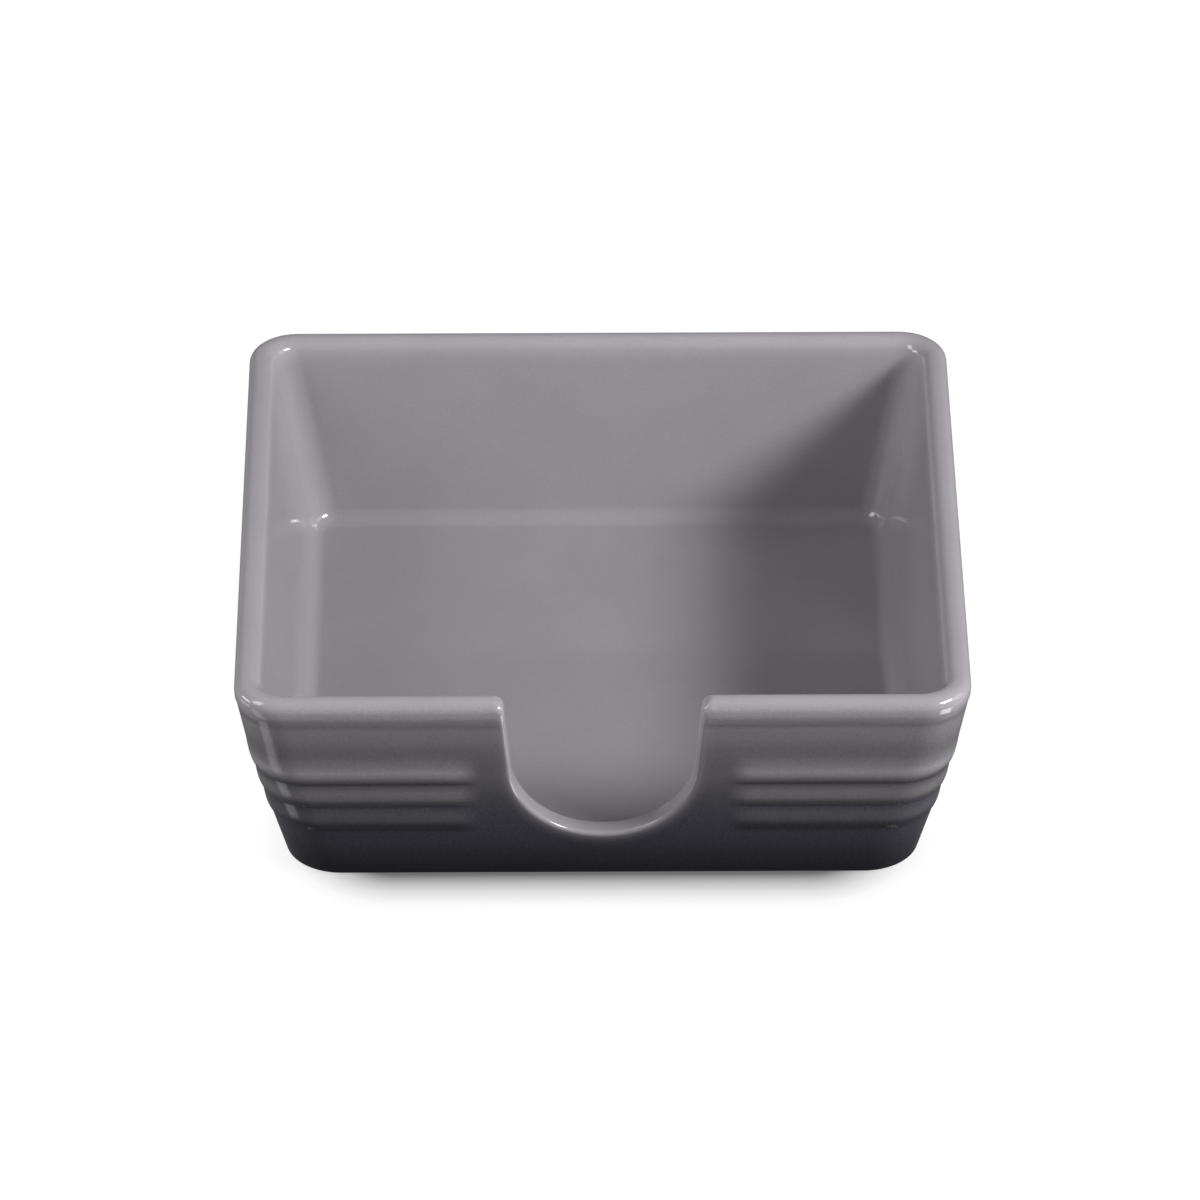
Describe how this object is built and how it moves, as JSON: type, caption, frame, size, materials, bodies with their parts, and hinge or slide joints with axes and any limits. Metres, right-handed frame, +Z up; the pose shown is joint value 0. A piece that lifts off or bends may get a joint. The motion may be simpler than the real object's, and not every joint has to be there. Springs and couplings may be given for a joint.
{
  "type": "napkin holder",
  "caption": "Square open stoneware napkin holder with flared ribbed walls, a rolled rim and a round notch in the front wall.",
  "frame": {"origin": "centre of the footprint, at the table", "axes": "+Z up; -Y towards the front wall with the notch; +X to the right as seen from the front"},
  "size_m": [0.1726, 0.1726, 0.0552],
  "materials": {
    "bare_stoneware": "matte",
    "light_glaze": "gloss",
    "dark_glaze": "satin"
  },
  "bodies": {
    "root": {"stoneware_body": "bare_stoneware", "lining_glaze": "light_glaze", "outer_glaze": "dark_glaze", "foot_glaze": "light_glaze"}
  },
  "joints": []
}
